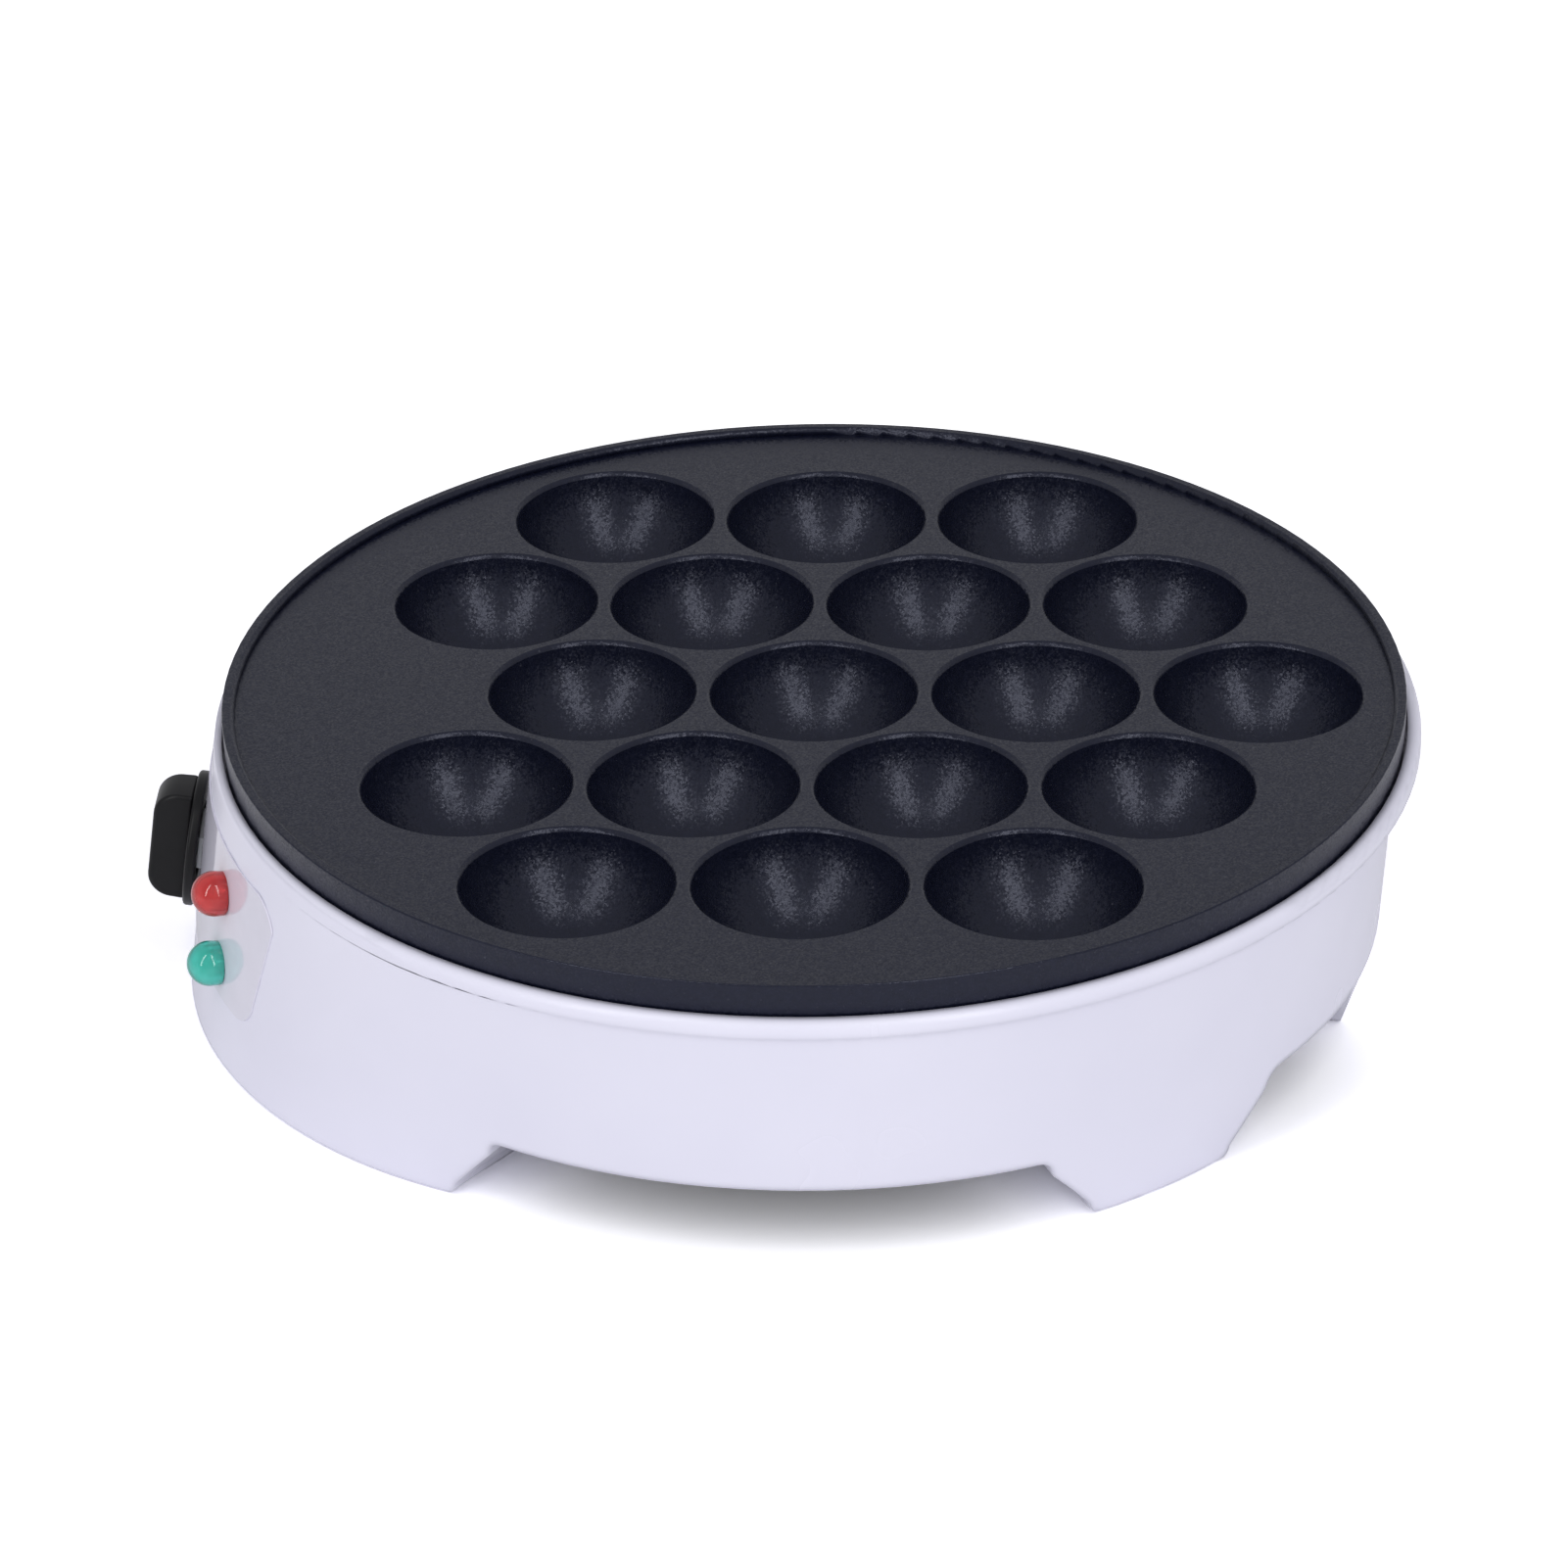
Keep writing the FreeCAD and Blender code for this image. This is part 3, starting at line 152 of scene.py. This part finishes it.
# %% [markdown]
# ### White moulded plastic
# The housing is a glossy injection moulding in a cool white. A mould is never quite
# sharp, so the shader rounds every edge by 2.4 mm where light falls on it. A faint
# waviness from cooling keeps the reflections from being perfectly straight.

# %% White housing plastic
def white_plastic():
    finish, main, place = finish_called("white_moulded_plastic", Roughness=0.22, IOR=1.49)
    link = finish.node_tree.links.new
    cloud = add(finish, "TexNoise", Vector=place, Scale=28.0, Detail=2.0)
    tone = ramp(finish, cloud.outputs["Fac"], [(0.25, "eae9f9"), (0.80, "efeefd")])
    link(tone, main.inputs["Base Color"])
    rough = add(finish, "MapRange", Value=cloud.outputs["Fac"], To_Min=0.22, To_Max=0.30)
    link(rough.outputs[0], main.inputs["Roughness"])
    rounded = add(finish, "Bevel", {"samples": 8}, Radius=0.0024)
    wave = add(finish, "TexNoise", Vector=place, Scale=60.0, Detail=1.0)
    bump = add(finish, "Bump", Height=wave.outputs["Fac"], Strength=0.10, Distance=0.0004,
               Normal=rounded.outputs[0])
    link(bump.outputs[0], main.inputs["Normal"])
    return finish


# %% [markdown]
# ### Tinted clear plastic
# The lamp lenses are moulded in clear coloured polycarbonate. The shader lets about six
# tenths of the light through, tinted, and scatters the rest at the surface. Flow lines
# from the gate show as a slow change of the tone.

# %% Lens plastic
def tinted(name, deep, bright):
    finish, main, place = finish_called(name, Roughness=0.04, IOR=1.55,
                                        Transmission_Weight=0.62)
    flow = add(finish, "TexNoise", Vector=place, Scale=220.0, Detail=1.0, Distortion=0.6)
    tone = ramp(finish, flow.outputs["Fac"], [(0.25, deep), (0.75, bright)])
    link = finish.node_tree.links.new
    link(tone, main.inputs["Base Color"])
    skin = add(finish, "TexNoise", Vector=place, Scale=700.0)
    bump = add(finish, "Bump", Height=skin.outputs["Fac"], Strength=0.05, Distance=0.00005)
    link(bump.outputs[0], main.inputs["Normal"])
    return finish


# %% [markdown]
# ### The smaller finishes
# One plan serves most small pieces: a base colour that drifts between two near tones,
# a roughness that drifts with it, and a grain of bumps at the size of the surface's
# own texture. Each line gives the finish's name, its two tones, the range of its
# roughness, and the width and depth of its grain in millimetres.

# %% A plain finish with grain
def grained(name, dark, light, rough, grain_mm, depth_mm, **shader):
    finish, main, place = finish_called(name, **shader)
    cloud = add(finish, "TexNoise", Vector=place, Scale=140.0, Detail=3.0)
    tone = ramp(finish, cloud.outputs["Fac"], [(0.3, dark), (0.7, light)])
    link = finish.node_tree.links.new
    link(tone, main.inputs["Base Color"])
    spread = add(finish, "MapRange", Value=cloud.outputs["Fac"], To_Min=rough[0], To_Max=rough[1])
    link(spread.outputs[0], main.inputs["Roughness"])
    grain = add(finish, "TexNoise", Vector=place, Scale=1000.0 / grain_mm, Detail=2.0)
    bump = add(finish, "Bump", Height=grain.outputs["Fac"], Strength=0.4,
               Distance=depth_mm / 1000.0)
    link(bump.outputs[0], main.inputs["Normal"])
    return finish


coating = coated_plate()
housing_white = white_plastic()
knob_black = grained("black_satin_phenolic", "09090c", "0e0e11", (0.30, 0.42), 0.25, 0.015,
                     IOR=1.5, Specular_IOR_Level=0.28)
red_plastic = tinted("red_clear_polycarbonate", "e43a3c", "f65c5a")
green_plastic = tinted("green_clear_polycarbonate", "3edbc8", "72f2e4")
neon_glass = grained("neon_lamp_glass", "e8c9b4", "f2dccb", (0.03, 0.06), 1.0, 0.004, IOR=1.5)
label_film = grained("clear_polyester_film", "e0deec", "e4e2f0", (0.05, 0.09), 3.0, 0.01,
                     IOR=1.57)
plated_steel = grained("zinc_plated_steel", "a9abb0", "c3c4c8", (0.25, 0.40), 0.3, 0.01,
                       Metallic=1.0)
dark_sheet = grained("black_coated_sheet_steel", "1b1b1d", "252527", (0.45, 0.60), 0.4, 0.02,
                     IOR=1.5)
pan_sheet = grained("bright_aluminised_sheet", "b5b6b8", "cdced0", (0.25, 0.38), 0.8, 0.02,
                    Metallic=1.0)
element_sheath = grained("heat_tinted_element_sheath", "3c3834", "57514b", (0.45, 0.60), 0.4,
                         0.02, Metallic=1.0)
ceramic = grained("unglazed_steatite", "ddd6c6", "ebe6da", (0.60, 0.75), 0.3, 0.03, IOR=1.5)
copper = grained("drawn_copper", "b3663f", "cc8259", (0.25, 0.40), 0.5, 0.01, Metallic=1.0)
brass = grained("turned_brass", "b8924c", "cfae6b", (0.22, 0.34), 0.4, 0.01, Metallic=1.0)
black_resin = grained("black_moulded_resin", "121213", "1c1c1e", (0.40, 0.55), 0.4, 0.02, IOR=1.5)
grey_rubber = grained("grey_rubber", "2c2c2e", "38383a", (0.70, 0.85), 0.5, 0.03, IOR=1.5)
wire_sleeve = grained("woven_glass_sleeve", "d3cdbd", "e4dfd2", (0.60, 0.75), 0.35, 0.05, IOR=1.5)
print("finishes", len(bpy.data.materials))

# %% Finishes on the pieces of the solid model
finish_of = {
    "cooking_plate": coating, "housing": housing_white, "control_knob": knob_black,
    "knob_clip": plated_steel, "thermostat_spindle": brass, "thermostat_bush": brass,
    "thermostat_nut": plated_steel, "thermostat_body": black_resin, "sensor_bulb": copper,
    "capillary_tube": copper, "red_lens": red_plastic, "green_lens": green_plastic,
    "neon_lamps": neon_glass, "lens_clips": plated_steel, "panel_label": label_film,
    "reflector_pan": pan_sheet, "heating_element": element_sheath,
    "element_insulators": ceramic, "element_clips": plated_steel, "plate_screws": plated_steel,
    "plate_washers": plated_steel, "base_screws": plated_steel, "foot_pads": grey_rubber,
    "base_cover": dark_sheet, "cord_grommet": black_resin, "terminal_block": ceramic,
    "hookup_wires": wire_sleeve, "thermal_fuse": plated_steel, "fuse_clamp": plated_steel,
}
for name, finish in finish_of.items():
    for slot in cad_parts[name].material_slots:
        slot.material = finish

# %% [markdown]
# ## Working by hand
# All lengths are written in millimetres and become metres as they are used. The helpers
# do what hands would do: turn a piece by extruding and resizing a ring, pick points by
# where they lie, combine two pieces, soften edges, and put a finished piece on the panel.
# The panel is part of a cone that leans, with the sizes that the solid model gives it.

# %% Helpers for modelling
MM = 0.001
PANEL_TOP = 55.4
PANEL_TOP_RADIUS = 119.9
PANEL_NARROWING = 22.5
PANEL_TOP_CENTRE = 3.7
PANEL_CENTRE_SHIFT = 30.6
PANEL_LEAN = PANEL_CENTRE_SHIFT - PANEL_NARROWING


def ring_points(sides, radius, z):
    """A new ring in edit mode, all selected."""
    bpy.ops.mesh.primitive_circle_add(vertices=sides, radius=radius * MM,
                                      location=(0, 0, z * MM))
    piece = bpy.context.object
    bpy.ops.object.transform_apply(location=True, rotation=False, scale=False)
    bpy.ops.object.mode_set(mode="EDIT")
    bpy.ops.mesh.select_all(action="SELECT")
    return piece


def turned(name, section, sides, ends="ring"):
    """Turns a section of (radius, height) points: a ring is extruded and resized from
    point to point. The ends are then bridged to a ring, or filled."""
    piece = ring_points(sides, section[0][0], z=section[0][1])
    piece.name = name
    for (radius, height), (wider, higher) in zip(section, section[1:]):
        bpy.ops.mesh.extrude_edges_move(
            TRANSFORM_OT_translate={"value": (0, 0, (higher - height) * MM)})
        bpy.ops.transform.resize(value=(wider / radius, wider / radius, 1),
                                 center_override=(0, 0, higher * MM))
    bpy.ops.mesh.select_all(action="SELECT")
    if ends == "ring":
        bpy.ops.mesh.region_to_loop()
        bpy.ops.mesh.bridge_edge_loops()
    else:
        bpy.ops.mesh.fill_holes(sides=0)
    bpy.ops.mesh.select_all(action="SELECT")
    bpy.ops.mesh.normals_make_consistent(inside=False)
    bpy.ops.object.mode_set(mode="OBJECT")
    return piece


def pick(piece, test):
    """Selects the points of a piece that pass a test and leaves edit mode open."""
    bpy.ops.object.mode_set(mode="EDIT")
    bpy.ops.mesh.select_mode(type="VERT")
    bpy.ops.mesh.select_all(action="DESELECT")
    bpy.ops.object.mode_set(mode="OBJECT")
    for point in piece.data.vertices:
        point.select = test(point.co / MM)
    bpy.ops.object.mode_set(mode="EDIT")


def combine(piece, tool, kind):
    """Joins a piece with a tool or cuts it by one. The tool is used up."""
    step = piece.modifiers.new("combine", "BOOLEAN")
    step.operation = kind
    step.solver = "EXACT"
    step.object = tool
    bpy.context.view_layer.objects.active = piece
    bpy.ops.object.modifier_apply(modifier=step.name)
    bpy.data.objects.remove(tool)


def soften(piece, width, segments, angle):
    """Bevels every edge sharper than an angle."""
    step = piece.modifiers.new("soften", "BEVEL")
    step.width = width * MM
    step.segments = segments
    step.limit_method = "ANGLE"
    step.angle_limit = math.radians(angle)
    bpy.context.view_layer.objects.active = piece
    bpy.ops.object.modifier_apply(modifier=step.name)


def panel_place(side, height):
    """Where the panel's skin lies at a side and height, and how it faces there."""
    share = (PANEL_TOP - height) / PANEL_TOP
    radius = PANEL_TOP_RADIUS - PANEL_NARROWING * share
    centre = PANEL_TOP_CENTRE - PANEL_CENTRE_SHIFT * share
    x = centre - math.sqrt(radius ** 2 - side ** 2)
    tilt = math.atan(PANEL_LEAN / PANEL_TOP) - math.pi / 2
    return (Matrix.Translation(Vector((x, side, height)) * MM)
            @ Matrix.Rotation(math.asin(-side / radius), 4, "Z") @ Matrix.Rotation(tilt, 4, "Y"))


def hand_over(piece, name, node, body, finish, where):
    """Puts a finished piece on the panel, in place of its node, riding on a body."""
    bpy.ops.object.select_all(action="DESELECT")
    piece.select_set(True)
    bpy.context.view_layer.objects.active = piece
    piece.name = name
    piece.matrix_world = where
    bpy.ops.object.transform_apply(location=True, rotation=True, scale=True)
    bpy.ops.object.shade_smooth_by_angle(angle=math.radians(35))
    piece.data.materials.clear()
    piece.data.materials.append(finish)
    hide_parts(node)
    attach(piece, body)
    return piece


# %% [markdown]
# ## Bar knob
# The knob stands on the panel, its own Z axis straight out of it. A round skirt is turned
# with a recess for the nut. The grip is a box whose two ends are rounded over with a wide
# radius and whose other edges get a small one. Both are joined, and the shaft's bore is cut.

# %% Skirt of the knob
KNOB_HEIGHT = 26.4
KNOB_RADIUS = 13.4
SKIRT_FOOT = 0.8
SKIRT_TOP = 2.8
SKIRT_ROUND = 0.7
SKIRT_CHAMFER = 0.3
RECESS_RADIUS = 7.6
RECESS_ROOF = 2.5
BORE_RADIUS = 3.04
arc = [math.radians(a) for a in range(0, 91, 15)]
shoulder = [(KNOB_RADIUS - SKIRT_ROUND + SKIRT_ROUND * math.cos(a),
             SKIRT_TOP - SKIRT_ROUND + SKIRT_ROUND * math.sin(a)) for a in arc]
skirt = turned("knob_skirt", [(RECESS_RADIUS, SKIRT_FOOT), (KNOB_RADIUS - SKIRT_CHAMFER, SKIRT_FOOT),
                              (KNOB_RADIUS, SKIRT_FOOT + SKIRT_CHAMFER)] + shoulder
               + [(BORE_RADIUS, SKIRT_TOP), (BORE_RADIUS, RECESS_ROOF),
                  (RECESS_RADIUS, RECESS_ROOF)], sides=144)

# %% Grip of the knob
GRIP_LENGTH = 23.2
GRIP_WIDTH = 10.0
GRIP_DEPTH = 7.8
GRIP_MIDDLE = 6.5
GRIP_DRAFT = (0.985, 0.93, 1)
GRIP_ROUND = 4.6
BORE_LENGTH = 9
BORE_MIDDLE = 3.1
bpy.ops.mesh.primitive_cube_add(size=1, location=(0, 0, GRIP_MIDDLE * MM))
grip = bpy.context.object
bpy.ops.transform.resize(value=(GRIP_LENGTH * MM, GRIP_WIDTH * MM, GRIP_DEPTH * MM))
bpy.ops.object.transform_apply(location=True, rotation=False, scale=True)
pick(grip, lambda p: p.z > GRIP_MIDDLE)
bpy.ops.transform.resize(value=GRIP_DRAFT, center_override=(0, 0, 0))
bpy.ops.mesh.select_mode(type="EDGE")
bpy.ops.mesh.select_all(action="DESELECT")
bpy.ops.object.mode_set(mode="OBJECT")
for edge in grip.data.edges:
    ends = [grip.data.vertices[k].co / MM for k in edge.vertices]
    across = abs(ends[0].y - ends[1].y) > GRIP_WIDTH / 2
    edge.select = across and min(e.z for e in ends) > GRIP_MIDDLE
bpy.ops.object.mode_set(mode="EDIT")
bpy.ops.mesh.bevel(offset=GRIP_ROUND * MM, segments=14)
bpy.ops.object.mode_set(mode="OBJECT")
soften(grip, 0.9, 5, 40)
combine(skirt, grip, "UNION")
bpy.ops.mesh.primitive_cylinder_add(vertices=64, radius=BORE_RADIUS * MM, depth=BORE_LENGTH * MM,
                                    location=(0, 0, BORE_MIDDLE * MM))
combine(skirt, bpy.context.object, "DIFFERENCE")
knob = hand_over(skirt, "bar_knob", "control_knob", "knob", knob_black,
                 panel_place(0.0, KNOB_HEIGHT))
print("knob", len(knob.data.polygons))

# %% [markdown]
# ## Lamp lenses
# Both lenses are the same hollow dome on a stem, turned once for each lamp: down the
# inside from its crown, out under the stem, and up over the dome. Crown and inner crown
# are closed with a small face.

# %% Two lenses
LENS_SIDE = -40.0
UPPER_LENS = 37.2
LOWER_LENS = 21.8
LENS_RADIUS = 4.4
LENS_FOOT = 2.1
HOLLOW_RADIUS = 2.7
HOLLOW_FOOT = 1.8
CROWN_FACE = 0.06
STEM_RADIUS = 3.7
STEM_END = -11.7
FLANGE_RADIUS = 4.3
FLANGE_FOOT = 0.45


def lens(name, node, height, finish):
    """A lens of the panel at a height, in place of its node."""
    inner = [(CROWN_FACE + (HOLLOW_RADIUS - CROWN_FACE) * math.sin(a),
              HOLLOW_FOOT + HOLLOW_RADIUS * math.cos(a)) for a in arc]
    stem = [(HOLLOW_RADIUS, STEM_END), (STEM_RADIUS, STEM_END), (STEM_RADIUS, FLANGE_FOOT),
            (FLANGE_RADIUS, FLANGE_FOOT)]
    outer = [(CROWN_FACE + (LENS_RADIUS - CROWN_FACE) * math.cos(a),
              LENS_FOOT + LENS_RADIUS * math.sin(a))
             for a in (math.radians(k) for k in range(0, 91, 6))]
    dome = turned(name, inner + stem + outer, sides=96, ends="fill")
    hand_over(dome, name, node, "base", finish, panel_place(LENS_SIDE, height))


lens("red_dome", "red_lens", UPPER_LENS, red_plastic)
lens("green_dome", "green_lens", LOWER_LENS, green_plastic)

# %% [markdown]
# ## Table and light
# A pale sheet serves as table and backdrop. For the camera alone its colour is lifted,
# so the sheet runs to plain white and only the contact shadow stays. Two tall soft lamps
# stand in front, left and right: they draw the pair of upright streaks in every well.

# %% Table
bpy.ops.mesh.primitive_plane_add(size=6.0, location=(0, 1.2, 0))
table = bpy.context.object
table.name = "table"
paper, sheet_shader, spot = finish_called("pale_paper", Roughness=0.9, Specular_IOR_Level=0.0)
fibre = add(paper, "TexNoise", Vector=spot, Scale=900.0, Detail=3.0)
pulp = ramp(paper, fibre.outputs["Fac"], [(0.3, "f6f6f8"), (0.7, "f9f9fb")])
seen = add(paper, "LightPath").outputs["Is Camera Ray"]
lifted = add(paper, "VectorMath", {"operation": "SCALE"}, i0=pulp, Scale=1.80)
sheet_tone = add(paper, "Mix", {"data_type": "RGBA"}, i0=seen, i6=pulp, i7=lifted.outputs[0])
paper.node_tree.links.new(sheet_tone.outputs[2], sheet_shader.inputs["Base Color"])
table.data.materials.append(paper)

# %% World and lamps
world = bpy.data.worlds.new("studio")
scene.world = world
world.use_nodes = True
world.node_tree.nodes["Background"].inputs["Color"].default_value = linear("fcfcff")
world.node_tree.nodes["Background"].inputs["Strength"].default_value = 0.52


def soft_lamp(name, place, aim, wide, tall, power):
    """An even lamp, in metres and watts, turned so that it faces what it aims at."""
    lamp = bpy.data.objects.new(name, bpy.data.lights.new(name, "AREA"))
    scene.collection.objects.link(lamp)
    lamp.data.shape = "RECTANGLE"
    lamp.data.size = wide
    lamp.data.size_y = tall
    lamp.data.energy = power
    lamp.location = place
    lamp.rotation_euler = (Vector(aim) - Vector(place)).to_track_quat("-Z", "Y").to_euler()


soft_lamp("left_strip", (-0.88, -1.08, 1.20), (0, 0, 0), 0.20, 1.9, 8.2)
soft_lamp("right_strip", (0.64, -1.14, 1.20), (0, 0, 0), 0.20, 1.9, 9.0)
